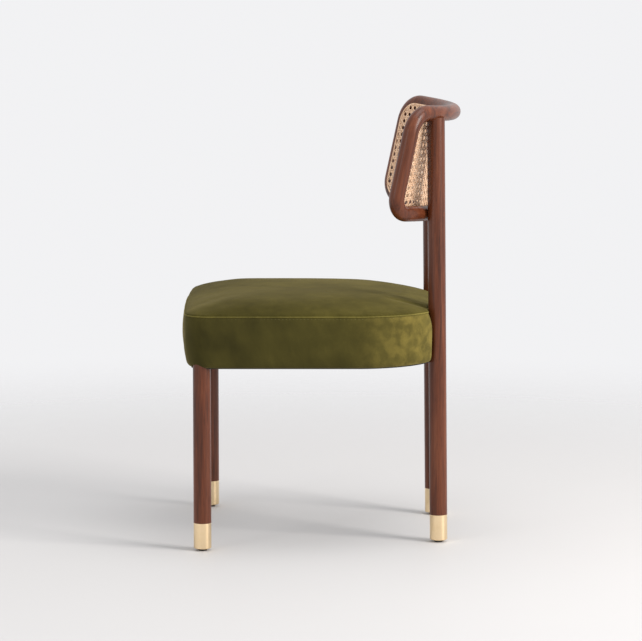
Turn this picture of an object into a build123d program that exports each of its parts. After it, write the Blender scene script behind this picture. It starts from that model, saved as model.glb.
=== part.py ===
from build123d import *

import os
from math import atan2, cos, degrees, hypot, radians, sin, sqrt

# Dining chair: round wooden legs in brass ferrules, a velvet seat on a hidden wooden
# frame, and a bent wooden ring with a woven cane panel for a back.
#
# Millimetres, +Z up. The origin is on the floor, midway between the front of the seat and
# the rear of the top rail. The chair faces -Y, and left and right are those of someone
# who looks at its front, so right is +X. Paired pieces are made on the right and mirrored.

os.makedirs("parts", exist_ok=True)

# ---- overall sizes
overall_depth = 511.0
seat_width = 494.0

# ---- legs and posts
leg_diameter = 32.0
front_leg_from_side = 32.0  # from the seat's side in to the leg's axis
front_leg_from_front = 43.0  # from the front of the seat back to the leg's axis
post_from_side = 112.0
post_rake = 8.5  # how far a post's foot stands behind its top
post_set_back = 2.0  # from the top rail's centre line out to the post's axis

# ---- feet
glide_height = 4.0
glide_diameter = 16.5
glide_edge = 1.4
ferrule_height = 46.5
ferrule_wall = 1.7
ferrule_floor = 3.0
ferrule_edge = 2.0
nail_diameter = 3.0
nail_length = 24.0
nail_start = 2.0

# ---- seat plan, at its widest line
front_bow = 7.5
front_corner_radius = 46.0
least_corner_radius = 4.0
rear_corner_radius = 164.0
seat_rear_gap = 29.5  # from the rear of the seat to the rear of the top rail

# ---- seat heights
seat_bottom = 331.0
seam_height = 424.0
seat_crown = 457.5
cover_thickness = 1.5
soft_clearance = 0.3
dust_cover_thickness = 0.8
dust_cover_inset = 18.0
turned_under_inset = 40.0
welt_diameter = 2.6
welt_inset = 1.5

# ---- seat frame
frame_inset = 20.0
frame_thickness = 24.0
frame_height = 58.0
deck_thickness = 12.0
block_height = 38.0
front_block_reach = 100.0
rear_block_depth = 24.0
rear_block_length = 64.0

# ---- fasteners
dowel_diameter = 8.0
dowel_length = 34.0
dowel_in_leg = 10.0
bolt_diameter = 8.0
bolt_in_post = 22.0
washer_diameter = 17.0
washer_thickness = 1.6
nut_across_corners = 15.0
nut_height = 6.5
bolt_head_diameter = 13.0
bolt_head_height = 8.0
screw_diameter = 4.0
screw_head_diameter = 8.0
screw_head_height = 3.0
deck_screw_length = 38.0
block_screw_length = 44.0
staple_width = 10.0
staple_wire = 0.7
staple_leg = 6.0

# ---- back ring, in its own leaning frame
rail_diameter = 28.0
back_radius = 256.0
back_height = 182.0  # between the centre lines of its two rails
back_tilt = 6.0
bottom_lead = 9.5  # how far the bottom rail stands in front of the top rail
top_turn = 36.0  # half angle of each rail's bend
bottom_turn = 40.4
top_straight = 45.0  # from the end of the bend to the corner of the ring
bottom_straight = 37.0
top_corner_radius = 42.0
bottom_corner_radius = 31.0
top_rail_height = 775.0  # centre of the top rail at the middle of the back
saddle_depth = 7.0
post_dowel_diameter = 10.0
post_dowel_length = 42.0
post_dowel_in_rail = 9.0
ring_dowel_length = 40.0
rail_screw_past = 7.0
plug_diameter = 10.0
plug_length = 8.0

# ---- cane
spline_diameter = 4.0
spline_proud = 1.0  # how far the spline stands above the groove's mouth
spline_turn = 12.0  # round the tube, from its front line towards the opening
cane_thickness = 1.2
cane_lift = -13.0

# ---- worked out from the sizes above
half_depth = overall_depth / 2
half_width = seat_width / 2
front_leg_x = half_width - front_leg_from_side
front_leg_y = -half_depth + front_leg_from_front
post_x = half_width - post_from_side
side_end_y = half_depth - seat_rear_gap - rear_corner_radius  # where a side turns
leg_radius = leg_diameter / 2
rail_radius = rail_diameter / 2
ferrule_top = glide_height + ferrule_height
frame_bottom = seat_bottom + cover_thickness + soft_clearance
frame_top = frame_bottom + frame_height
frame_inner = frame_inset + frame_thickness
deck_top = frame_top + deck_thickness
rear_centre_x = half_width - rear_corner_radius
back_origin_y = half_depth - rail_radius
tilt = radians(back_tilt)
back_plane = Plane(
    origin=(0, back_origin_y, top_rail_height),
    x_dir=(1, 0, 0),
    z_dir=(0, sin(tilt), cos(tilt)),
)


def save(part, name):
    """Label a finished piece and write it."""
    part.label = name
    export_step(part, f"parts/{name}.step")


def mirrored(part):
    """The same piece on the other side of the chair."""
    with BuildPart() as other:
        add(part)
        mirror(about=Plane.YZ, mode=Mode.REPLACE)
    return other.part


def save_pair(part, name):
    """Write a right-hand piece and its left-hand twin."""
    save(mirrored(part), f"{name}_left")
    save(part, f"{name}_right")


# ================================================================ shapes used by several
def rod(start, direction, diameter, length):
    """Plain cylinder from a point along a direction."""
    with BuildPart() as shape:
        with BuildSketch(Plane(origin=start, z_dir=direction)):
            Circle(diameter / 2)
        extrude(amount=length)
    return shape.part


def tube_along(path, diameter):
    """Round bar that follows a smooth path."""
    with BuildPart() as shape:
        with BuildSketch(Plane(origin=path @ 0, z_dir=path % 0)):
            Circle(diameter / 2)
        sweep(path=path)
    return shape.part


def ring(start, direction, outer, inner, thickness):
    """Washer: a flat ring whose first face is at the start."""
    with BuildPart() as shape:
        with BuildSketch(Plane(origin=start, z_dir=direction)):
            Circle(outer / 2)
            Circle(inner / 2, mode=Mode.SUBTRACT)
        extrude(amount=thickness)
    return shape.part


def screw(start, direction, length):
    """Countersunk wood screw: its head's top is at the start."""
    with BuildPart() as shape:
        with BuildSketch(Plane(origin=start, z_dir=direction)):
            Circle(screw_diameter / 2)
        extrude(amount=length)
        with BuildSketch(Plane(origin=start, z_dir=direction)):
            Circle(screw_head_diameter / 2)
        extrude(amount=screw_head_height, taper=33)
    return shape.part


def grouped(shapes):
    """Several separate solids as one piece's geometry."""
    with BuildPart() as group:
        for shape in shapes:
            add(shape)
    return group.part


def on_both_sides(shapes):
    """Right-hand solids and their mirror images, as one group."""
    return grouped([*shapes, *[mirrored(shape) for shape in shapes]])


def seat_plan(inset):
    """Plan of the seat as a face, drawn inside its widest line."""
    side = half_width - inset
    front = -half_depth + inset
    turn = rear_corner_radius - inset
    with BuildSketch() as plan:
        with BuildLine():
            ThreePointArc((-side, front + front_bow), (0, front), (side, front + front_bow))
            Line((side, front + front_bow), (side, side_end_y))
            CenterArc((rear_centre_x, side_end_y), turn, 0, 90)
            Line((rear_centre_x, side_end_y + turn), (-rear_centre_x, side_end_y + turn))
            CenterArc((-rear_centre_x, side_end_y), turn, 90, 90)
            Line((-side, side_end_y), (-side, front + front_bow))
        make_face()
        front_corners = plan.vertices().group_by(Axis.Y)[0]
        fillet(front_corners, max(front_corner_radius - inset, least_corner_radius))
    return plan.sketch


def stacked(levels):
    """Solid whose plan follows a list of (height, inset) levels."""
    with BuildPart() as body:
        for height, inset in levels:
            with BuildSketch(Plane.XY.offset(height)):
                add(seat_plan(inset))
        loft(ruled=True)
    return body.part


def slab(bottom, thickness, inset):
    """Flat board with the seat's plan."""
    with BuildPart() as board:
        with BuildSketch(Plane.XY.offset(bottom)):
            add(seat_plan(inset))
        extrude(amount=thickness)
    return board.part


# ================================================================ the back's centre lines
def back_corner(depth, inset=0.0, lift=0.0):
    """End of a bend and the corner beyond it, on the right, in the back's own frame.

    depth is measured down from the top rail's centre line, inset is towards the opening,
    and lift is outwards from the ring's middle surface, so negative on the sitter's side.
    """
    share = depth / back_height
    turn = radians(top_turn + (bottom_turn - top_turn) * share)
    straight = top_straight + (bottom_straight - top_straight) * share
    centre_y = -back_radius - bottom_lead * share
    radius = back_radius + lift
    end = Vector(radius * sin(turn), centre_y + radius * cos(turn), -depth)
    corner = end + Vector(cos(turn), -sin(turn), 0) * (straight - inset)
    return end, corner, centre_y + radius


def placed(*points):
    """Points of the back's own frame in the chair's frame."""
    return [back_plane.from_local_coords(Vector(point)) for point in points]


def flipped(point):
    return Vector(-point.X, point.Y, point.Z)


def rail_path(depth):
    """Bent centre line of one rail, from its left end to its right end."""
    end, _, middle_y = back_corner(depth)
    with BuildLine() as path:
        ThreePointArc(*placed(flipped(end), (0, middle_y, -depth), end))
    return path.line


def wing_points(inset, lift):
    """The right side of the ring: bend end, corner, corner, bend end."""
    top_end, top_corner, _ = back_corner(0, inset, lift)
    low_end, low_corner, _ = back_corner(back_height, inset, lift)
    down = Vector(0, 0, -inset)
    return placed(top_end + down, top_corner + down, low_corner - down, low_end - down)


def wing_path(inset=0.0, lift=0.0):
    """Centre line of the ring's right side, with its two round corners."""
    with BuildLine() as path:
        FilletPolyline(
            *wing_points(inset, lift),
            radius=(top_corner_radius - inset, bottom_corner_radius - inset),
        )
    return path.line


def half_bend(depth, inset, lift, height):
    """Middle, halfway point and right end of a rail's bend."""
    end, _, middle_y = back_corner(depth, inset, lift)
    radius = back_radius + lift
    half_turn = atan2(end.X, end.Y - (middle_y - radius)) / 2
    halfway = (radius * sin(half_turn), middle_y - radius + radius * cos(half_turn), height)
    return placed((0, middle_y, height), halfway, (end.X, end.Y, height))


# ================================================================ axes of the legs
post_arc = back_radius + post_set_back
post_top = placed((post_x, sqrt(post_arc**2 - post_x**2) - back_radius, 0))[0]
post_foot = Vector(post_x, post_top.Y + post_rake, 0)
post_axis = (post_top - post_foot).normalized()
leg_planes = {
    "front": Plane(origin=(front_leg_x, front_leg_y, 0)),
    "back": Plane(origin=post_foot, x_dir=(1, 0, 0), z_dir=post_axis),
}


def post_at(height):
    """Centre of the right post at a height."""
    return post_foot + post_axis * (height / post_axis.Z)


def leg_bar(kind, diameter, top):
    """Plain bar on a right-hand leg's axis, from the floor to a height along it."""
    with BuildPart() as bar:
        with BuildSketch(leg_planes[kind]):
            Circle(diameter / 2)
        extrude(amount=top)
    return bar.part


soft_leg_diameter = leg_diameter + 2 * soft_clearance
post_reach = top_rail_height + rail_diameter
post_bar = leg_bar("back", leg_diameter, post_reach)
front_bar = leg_bar("front", leg_diameter, post_reach)
soft_post_bar = leg_bar("back", soft_leg_diameter, post_reach)
soft_front_bar = leg_bar("front", soft_leg_diameter, frame_top + soft_clearance)
wood_bars = on_both_sides([post_bar, front_bar])
soft_post_bars = on_both_sides([soft_post_bar])
soft_bars = on_both_sides([soft_post_bar, soft_front_bar])

# ================================================================ cane spline
spline_reach = rail_radius - spline_diameter / 2 + spline_proud
spline_inset = spline_reach * sin(radians(spline_turn))
spline_lift = -spline_reach * cos(radians(spline_turn))
top_round = top_corner_radius - spline_inset
bottom_round = bottom_corner_radius - spline_inset

# The reed runs round the ring's front from the middle of the top rail.
with BuildLine() as spline_line:
    ThreePointArc(*half_bend(0, spline_inset, spline_lift, -spline_inset))
    FilletPolyline(*wing_points(spline_inset, spline_lift), radius=(top_round, bottom_round))
    ThreePointArc(
        *half_bend(back_height, spline_inset, spline_lift, spline_inset - back_height)[::-1]
    )

with BuildPart() as cane_spline:
    add(tube_along(spline_line.line, spline_diameter))
    mirror(about=Plane.YZ)
save(cane_spline.part, "cane_spline")

# ================================================================ fasteners of the back
# ---- dowels that join the four lengths of the ring
ring_dowels = []
for depth in (0, back_height):
    end, corner, _ = back_corner(depth)
    here, there = placed(end, corner)
    along = (there - here).normalized()
    start = here - along * ring_dowel_length / 2
    ring_dowels.append(rod(start, along, dowel_diameter, ring_dowel_length))
ring_dowel_group = on_both_sides(ring_dowels)
save(ring_dowel_group, "back_ring_dowels")

# ---- dowels that hold the top rail on the posts
dowel_low = post_top + post_axis * (post_dowel_in_rail - rail_radius - post_dowel_length)
post_dowel = rod(dowel_low, post_axis, post_dowel_diameter, post_dowel_length)
post_dowel_group = on_both_sides([post_dowel])
save(post_dowel_group, "post_top_dowels")

# ---- screws from the rear of the posts into the bottom rail, under wooden plugs
post_local = back_plane.to_local_coords(post_at(top_rail_height - back_height))
bottom_centre_y = -back_radius - bottom_lead
touch_turn = atan2(post_local.X, post_local.Y - bottom_centre_y)
touch_point = placed(
    (
        back_radius * sin(touch_turn),
        bottom_centre_y + back_radius * cos(touch_turn),
        -back_height,
    )
)[0]
touch_post = post_at(touch_point.Z)
into_rail = (touch_point - touch_post).normalized()
screw_seat = touch_post - into_rail * (leg_radius - plug_length)
screw_reach = (touch_point - screw_seat).length + rail_screw_past
rail_screw_group = on_both_sides([screw(screw_seat, into_rail, screw_reach)])
save(rail_screw_group, "bottom_rail_screws")

with BuildPart() as plug:
    add(rod(screw_seat, -into_rail, plug_diameter, 2 * plug_length))
    add(post_bar, mode=Mode.INTERSECT)
plug_group = on_both_sides([plug.part])
save(plug_group, "screw_plugs")

# ================================================================ the ring's four lengths
ring_tubes = []
for name, depth in (("back_top_rail", 0), ("back_bottom_rail", back_height)):
    with BuildPart() as rail:
        add(tube_along(rail_path(depth), rail_diameter))
        for group in (ring_dowel_group, cane_spline.part, post_dowel_group, rail_screw_group):
            add(group, mode=Mode.SUBTRACT)
    ring_tubes.append(rail.part)
    save(rail.part, name)

with BuildPart() as wing:
    add(tube_along(wing_path(), rail_diameter))
    for group in (ring_dowel_group, cane_spline.part):
        add(group, mode=Mode.SUBTRACT)
ring_tubes += [wing.part, mirrored(wing.part)]
save_pair(wing.part, "back_wing")


# ================================================================ cane panel
def cane_section(depth):
    """Thin bent strip of the cane sheet at one depth."""
    pulled_in = spline_inset
    for distance, radius in (
        (depth - spline_inset, top_round),
        (back_height - spline_inset - depth, bottom_round),
    ):
        if distance < radius:
            pulled_in += radius - sqrt(radius**2 - (radius - distance) ** 2)
    out_end, out_corner, out_middle = back_corner(
        depth, pulled_in, cane_lift + cane_thickness / 2
    )
    in_end, in_corner, in_middle = back_corner(depth, pulled_in, cane_lift - cane_thickness / 2)
    with BuildSketch(back_plane.offset(-depth)) as strip:
        with BuildLine():
            Line((-out_corner.X, out_corner.Y), (-out_end.X, out_end.Y))
            ThreePointArc((-out_end.X, out_end.Y), (0, out_middle), (out_end.X, out_end.Y))
            Line((out_end.X, out_end.Y), (out_corner.X, out_corner.Y))
            Line((out_corner.X, out_corner.Y), (in_corner.X, in_corner.Y))
            Line((in_corner.X, in_corner.Y), (in_end.X, in_end.Y))
            ThreePointArc((in_end.X, in_end.Y), (0, in_middle), (-in_end.X, in_end.Y))
            Line((-in_end.X, in_end.Y), (-in_corner.X, in_corner.Y))
            Line((-in_corner.X, in_corner.Y), (-out_corner.X, out_corner.Y))
        make_face()
    return strip.sketch


corner_shares = (0.0, 0.12, 0.3, 0.6, 1.0)
cane_depths = [spline_inset + top_round * share for share in corner_shares]
cane_depths += [
    back_height - spline_inset - bottom_round * share for share in reversed(corner_shares)
]

with BuildPart() as cane_panel:
    for depth in cane_depths:
        add(cane_section(depth))
    loft(ruled=True)
    for tube in ring_tubes:
        add(tube, mode=Mode.SUBTRACT)
    add(cane_spline.part, mode=Mode.SUBTRACT)
save(cane_panel.part, "cane_panel")

# ================================================================ fasteners of the seat
frame_middle = frame_bottom + frame_height / 2
block_bottom = frame_middle - block_height / 2
rail_centre_inset = frame_inset + frame_thickness / 2
side_rail_x = half_width - rail_centre_inset
front_rail_y = -half_depth + rail_centre_inset + front_bow * 0.7

# ---- dowels between the front legs and the rails
front_dowel_heights = (frame_middle - 19, frame_middle + 13)
side_dowel_heights = (frame_middle - 9, frame_middle + 23)
leg_face = leg_radius * 0.66  # from the leg's axis to the middle of a coped rail end
leg_dowels = []
for height in front_dowel_heights:
    start = (front_leg_x - leg_face + dowel_in_leg, front_rail_y, height)
    leg_dowels.append(rod(start, (-1, 0, 0), dowel_diameter, dowel_length))
for height in side_dowel_heights:
    start = (side_rail_x, front_leg_y + leg_face - dowel_in_leg, height)
    leg_dowels.append(rod(start, (0, 1, 0), dowel_diameter, dowel_length))
leg_dowel_group = on_both_sides(leg_dowels)
save(leg_dowel_group, "leg_dowels")

# ---- hanger bolts through the front corner blocks into the legs
block_corner_x = half_width - frame_inner
block_corner_y = -half_depth + frame_inner + front_bow * 0.68
diagonal = 1 / sqrt(2)
bolt_offset = (front_leg_x - block_corner_x + block_corner_y - front_leg_y) * diagonal
nut_face = bolt_offset + front_block_reach / 2
inwards = Vector(-diagonal, diagonal, 0)
leg_centre = Vector(front_leg_x, front_leg_y, frame_middle)
washer_start = leg_centre + inwards * nut_face
nut_start = washer_start + inwards * washer_thickness
bolt_past = 4.0
bolt_run = nut_face + washer_thickness + nut_height + 2 * bolt_past
leg_bolt = rod(leg_centre - inwards * bolt_past, inwards, bolt_diameter, bolt_run)
leg_bolt_group = on_both_sides([leg_bolt])
save(leg_bolt_group, "leg_hanger_bolts")
leg_washer = ring(washer_start, inwards, washer_diameter, bolt_diameter, washer_thickness)
leg_washer_group = on_both_sides([leg_washer])
save(leg_washer_group, "leg_bolt_washers")
with BuildPart() as nut:
    with BuildSketch(Plane(origin=nut_start, z_dir=inwards)):
        RegularPolygon(nut_across_corners / 2, 6)
        Circle(bolt_diameter / 2, mode=Mode.SUBTRACT)
    extrude(amount=nut_height)
save(on_both_sides([nut.part]), "leg_bolt_nuts")

# ---- bolts through the rear corner blocks into the posts
post_in_seat = post_at(frame_middle)
post_turn = atan2(post_in_seat.X - rear_centre_x, post_in_seat.Y - side_end_y)
post_distance = hypot(post_in_seat.X - rear_centre_x, post_in_seat.Y - side_end_y)
rear_block_inner = rear_corner_radius - frame_inner - rear_block_depth
outwards = Vector(sin(post_turn), cos(post_turn), 0)
post_bolt_step = 10.0
post_bolts = []
post_washers = []
for height in (frame_middle - post_bolt_step, frame_middle + post_bolt_step):
    seat = Vector(rear_centre_x, side_end_y, height) + outwards * rear_block_inner
    under_head = seat - outwards * washer_thickness
    reach = post_distance - leg_radius + bolt_in_post - rear_block_inner + washer_thickness
    with BuildPart() as post_bolt:
        add(rod(under_head, outwards, bolt_diameter, reach))
        add(rod(under_head, -outwards, bolt_head_diameter, bolt_head_height))
    post_bolts.append(post_bolt.part)
    post_washers.append(
        ring(under_head, outwards, washer_diameter, bolt_diameter, washer_thickness)
    )
post_bolt_group = on_both_sides(post_bolts)
save(post_bolt_group, "post_bolts")
post_washer_group = on_both_sides(post_washers)
save(post_washer_group, "post_bolt_washers")

# ---- screws that hold the corner blocks to the rails
screw_side_step = front_block_reach / 3
screw_back_step = front_block_reach * diagonal - screw_side_step
screw_lift = 13.0
block_screws = [
    screw(
        (block_corner_x - screw_side_step, block_corner_y + screw_back_step, frame_middle + screw_lift),
        (0, -1, 0),
        block_screw_length,
    ),
    screw(
        (block_corner_x - screw_back_step, block_corner_y + screw_side_step, frame_middle - screw_lift),
        (1, 0, 0),
        block_screw_length,
    ),
]
rear_screw_spread = 12.0
for offset in (-radians(rear_screw_spread), radians(rear_screw_spread)):
    away = Vector(sin(post_turn + offset), cos(post_turn + offset), 0)
    start = Vector(rear_centre_x, side_end_y, frame_middle) + away * (rear_block_inner + 1)
    block_screws.append(screw(start, away, rear_block_depth + frame_thickness * 0.66))
block_screw_group = on_both_sides(block_screws)
save(block_screw_group, "corner_block_screws")

# ---- screws that hold the deck to the rails
rear_screw_radius = rear_corner_radius - rail_centre_inset
curve_screw_turn = radians(58)
screw_places = [
    (80, -half_depth + rail_centre_inset + 1),
    (side_rail_x, -120),
    (side_rail_x, 0),
    (
        rear_centre_x + rear_screw_radius * sin(curve_screw_turn),
        side_end_y + rear_screw_radius * cos(curve_screw_turn),
    ),
    (58, side_end_y + rear_screw_radius),
]
deck_screw_group = on_both_sides(
    [screw((x, y, deck_top), (0, 0, -1), deck_screw_length) for x, y in screw_places]
)
save(deck_screw_group, "deck_screws")

rail_fasteners = (leg_dowel_group, leg_bolt_group, post_bolt_group, block_screw_group)


# ================================================================ seat frame
def frame_rail(*regions):
    """The part of the frame's band that lies inside some rectangles (width, depth, centre)."""
    with BuildPart() as rail:
        with BuildSketch(Plane.XY.offset(frame_bottom)):
            for width, depth, centre in regions:
                with Locations(centre):
                    Rectangle(width, depth)
            add(seat_plan(frame_inset), mode=Mode.INTERSECT)
            add(seat_plan(frame_inner), mode=Mode.SUBTRACT)
        extrude(amount=frame_height)
        for shape in (wood_bars, *rail_fasteners, deck_screw_group):
            add(shape, mode=Mode.SUBTRACT)
    return rail.part


rail_split_x = rear_centre_x + rear_screw_radius * sin(post_turn)
rear_limit = side_end_y + rear_corner_radius
front_end_y = -half_depth + frame_inner + front_bow + 1
side_region_width = half_width - block_corner_x
save(
    frame_rail(
        (2 * front_leg_x, half_depth + front_leg_y, (0, (front_leg_y - half_depth) / 2)),
        (2 * block_corner_x, half_depth + front_end_y, (0, (front_end_y - half_depth) / 2)),
    ),
    "seat_rail_front",
)
save(
    frame_rail((2 * rail_split_x, rear_corner_radius, (0, rear_limit - rear_corner_radius / 2))),
    "seat_rail_rear",
)
save_pair(
    frame_rail(
        (
            side_region_width,
            side_end_y - front_leg_y,
            (block_corner_x + side_region_width / 2, (side_end_y + front_leg_y) / 2),
        ),
        (
            half_width - rail_split_x,
            rear_corner_radius,
            ((half_width + rail_split_x) / 2, side_end_y + rear_corner_radius / 2),
        ),
    ),
    "seat_rail",
)

# ---- corner blocks
with BuildPart() as front_block:
    with BuildSketch(Plane.XY.offset(block_bottom)):
        with Locations((block_corner_x, block_corner_y)):
            Rectangle(front_block_reach, front_block_reach, 45)
        add(seat_plan(frame_inner), mode=Mode.INTERSECT)
    extrude(amount=block_height)
    for shape in (wood_bars, leg_bolt_group, leg_washer_group, block_screw_group):
        add(shape, mode=Mode.SUBTRACT)
save_pair(front_block.part, "corner_block_front")

block_radius = rear_block_inner + rear_block_depth / 2
block_place = (
    rear_centre_x + block_radius * sin(post_turn),
    side_end_y + block_radius * cos(post_turn),
)
with BuildPart() as rear_block:
    with BuildSketch(Plane.XY.offset(block_bottom)):
        with Locations(block_place):
            Rectangle(rear_block_length, 2.5 * rear_block_depth, -degrees(post_turn))
        add(seat_plan(frame_inner), mode=Mode.INTERSECT)
        add(seat_plan(frame_inner + rear_block_depth), mode=Mode.SUBTRACT)
    extrude(amount=block_height)
    for shape in (post_bolt_group, post_washer_group, block_screw_group):
        add(shape, mode=Mode.SUBTRACT)
save_pair(rear_block.part, "corner_block_rear")

# ---- plywood deck
with BuildPart() as seat_deck:
    add(slab(frame_top, deck_thickness, frame_inset))
    add(soft_post_bars, mode=Mode.SUBTRACT)
    add(deck_screw_group, mode=Mode.SUBTRACT)
save(seat_deck.part, "seat_deck")

# ================================================================ seat upholstery
under_cover = cover_thickness + soft_clearance
band_levels = [
    (seat_bottom, 12.0),
    (seat_bottom + 11, 5.5),
    (seat_bottom + 29, 1.0),
    (seat_bottom + 47, 0.0),
    (seat_bottom + 69, 0.6),
    (seam_height, 3.0),
]
crown_rise = seat_crown - seam_height
crown_shares = [(0.0, 3.0), (0.30, 8.0), (0.57, 18.0), (0.79, 36.0), (0.93, 66.0), (1.0, 110.0)]


def band_body(shrink):
    """The seat's bulging side, pulled in all round."""
    return stacked([(height, inset + shrink) for height, inset in band_levels])


def crown_levels(shrink):
    """The seat's top, pulled in and down."""
    return [
        (seam_height + crown_rise * share - shrink, inset + shrink)
        for share, inset in crown_shares
    ]


# ---- one moulded foam pad, from the deck to the crown
with BuildPart() as seat_foam:
    add(stacked([(deck_top + soft_clearance, 1.0 + under_cover), *crown_levels(under_cover)]))
    add(soft_bars, mode=Mode.SUBTRACT)
save(seat_foam.part, "seat_foam")

# ---- padding wrapped round the frame
with BuildPart() as edge_padding:
    add(band_body(under_cover))
    add(slab(seat_bottom, frame_bottom - seat_bottom, 0), mode=Mode.SUBTRACT)
    add(slab(deck_top, seam_height - frame_top, 0), mode=Mode.SUBTRACT)
    add(slab(seat_bottom, seat_crown, frame_inset - soft_clearance), mode=Mode.SUBTRACT)
    add(soft_bars, mode=Mode.SUBTRACT)
save(edge_padding.part, "edge_padding")

# ---- velvet: top panel, side band with its turned-under edge, and the welt between
with BuildPart() as cover_top:
    add(stacked(crown_levels(0)))
    add(stacked(crown_levels(cover_thickness)), mode=Mode.SUBTRACT)
    add(soft_bars, mode=Mode.SUBTRACT)
save(cover_top.part, "velvet_top_panel")

with BuildPart() as cover_band:
    add(band_body(0))
    add(band_body(cover_thickness), mode=Mode.SUBTRACT)
    add(slab(seat_bottom, cover_thickness, band_levels[0][1] + 0.5))
    add(slab(seat_bottom, cover_thickness, turned_under_inset), mode=Mode.SUBTRACT)
    add(soft_bars, mode=Mode.SUBTRACT)
save(cover_band.part, "velvet_side_band")

with BuildPart() as welt:
    with BuildSketch(Plane.XY.offset(seam_height)) as seam_plan:
        add(seat_plan(welt_inset))
    add(tube_along(seam_plan.sketch.face().outer_wire(), welt_diameter))
    add(soft_bars, mode=Mode.SUBTRACT)
save(welt.part, "velvet_welt")

# ---- dust cover under the frame, and the staples that hold it
dust_bottom = seat_bottom - dust_cover_thickness
post_in_cover = post_at(dust_bottom)
leg_places = []
for side in (-1, 1):
    leg_places.append((side * front_leg_x, front_leg_y))
    leg_places.append((side * post_in_cover.X, post_in_cover.Y))
with BuildPart() as dust_cover:
    with BuildSketch(Plane.XY.offset(dust_bottom)):
        add(seat_plan(dust_cover_inset))
        with Locations(*leg_places):
            Circle(soft_leg_diameter / 2, mode=Mode.SUBTRACT)
    extrude(amount=dust_cover_thickness)
save(dust_cover.part, "dust_cover")


def staple(x, y, turn):
    """Staple driven up from below, its crown along the given direction."""
    place = Plane(
        origin=(x, y, dust_bottom - staple_wire), x_dir=(cos(turn), sin(turn), 0), z_dir=(0, 0, 1)
    )
    with BuildPart() as shape:
        with BuildSketch(place):
            Rectangle(staple_width, staple_wire)
        extrude(amount=staple_wire)
        with BuildSketch(place):
            with GridLocations(staple_width - staple_wire, 0, 2, 1):
                Rectangle(staple_wire, staple_wire)
        extrude(amount=staple_leg)
    return shape.part


staple_inset = frame_inset + 8
staple_arc = rear_corner_radius - staple_inset
staple_spots = [(x, -half_depth + staple_inset + 2, 0) for x in range(20, 181, 40)]
staple_spots += [(20, rear_limit - staple_inset, 0), (60, rear_limit - staple_inset, 0)]
staple_spots += [(half_width - staple_inset, y, radians(90)) for y in range(-160, 61, 44)]
for turn in (radians(40), radians(66)):
    staple_spots.append(
        (rear_centre_x + staple_arc * sin(turn), side_end_y + staple_arc * cos(turn), -turn)
    )
save(on_both_sides([staple(*spot) for spot in staple_spots]), "dust_cover_staples")

# ================================================================ legs, posts and feet
nails = []
for plane in leg_planes.values():
    start = plane.from_local_coords(Vector(0, 0, nail_start))
    nails.append(rod(start, plane.z_dir, nail_diameter, nail_length))
nail_group = on_both_sides(nails)
save(nail_group, "glide_nails")

tenon_radius = leg_radius - ferrule_wall
leg_tops = {"front": frame_top, "back": post_top.Z - saddle_depth}
leg_cuts = {
    "front": (nail_group, leg_dowel_group, leg_bolt_group),
    "back": (
        nail_group,
        tube_along(rail_path(0), rail_diameter),
        tube_along(rail_path(back_height), rail_diameter),
        cane_panel.part,
        post_bolt_group,
        post_dowel_group,
        rail_screw_group,
        plug_group,
    ),
}
for kind, name in (("front", "front_leg"), ("back", "back_post")):
    plane = leg_planes[kind]
    with BuildPart() as leg:
        with BuildSketch(plane.offset(ferrule_top)):
            Circle(leg_radius)
        extrude(amount=leg_tops[kind] + leg_radius - ferrule_top)
        with BuildSketch(plane.offset(glide_height + ferrule_floor)):
            Circle(tenon_radius)
        extrude(amount=ferrule_height - ferrule_floor)
        split(bisect_by=Plane.XY.offset(leg_tops[kind]), keep=Keep.BOTTOM)
        for shape in leg_cuts[kind]:
            add(shape, mode=Mode.SUBTRACT)
        # The flake that a post would have in front of the cane is planed off.
        whole = leg.solids().sort_by(SortBy.VOLUME)[-1]
        add(whole, mode=Mode.REPLACE)
    save_pair(leg.part, name)

    with BuildPart() as ferrule:
        with BuildSketch(plane.offset(glide_height)):
            Circle(leg_radius)
        extrude(amount=ferrule_height)
        fillet(ferrule.edges().group_by(Axis.Z)[0], ferrule_edge)
        with BuildSketch(plane.offset(glide_height + ferrule_floor)):
            Circle(tenon_radius)
        extrude(amount=ferrule_height, mode=Mode.SUBTRACT)
        add(nail_group, mode=Mode.SUBTRACT)
    save_pair(ferrule.part, f"ferrule_{kind}")

    with BuildPart() as glide:
        with BuildSketch(plane.offset(-1)):
            Circle(glide_diameter / 2)
        extrude(amount=glide_height + 1)
        split(bisect_by=Plane.XY, keep=Keep.TOP)
        fillet(glide.edges().group_by(Axis.Z)[0], glide_edge)
        add(nail_group, mode=Mode.SUBTRACT)
    save_pair(glide.part, f"glide_{kind}")
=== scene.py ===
# %% [markdown]
# # A dining chair with a velvet seat and a woven cane back
#
# The chair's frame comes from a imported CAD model, and this script gives it its looks. It stands on four
# round walnut legs in brass ferrules. The two rear legs run up as posts and carry a bent walnut ring with
# woven cane in it. The seat is padded and covered in olive velvet.
#
# The script works in metres, in the CAD model's own frame: +Z is up and the chair faces -Y.

from math import cos, exp, hypot, pi, radians, sin, sqrt

import bmesh
import bpy
from mathutils import Matrix, Vector, noise
from mathutils.bvhtree import BVHTree


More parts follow.
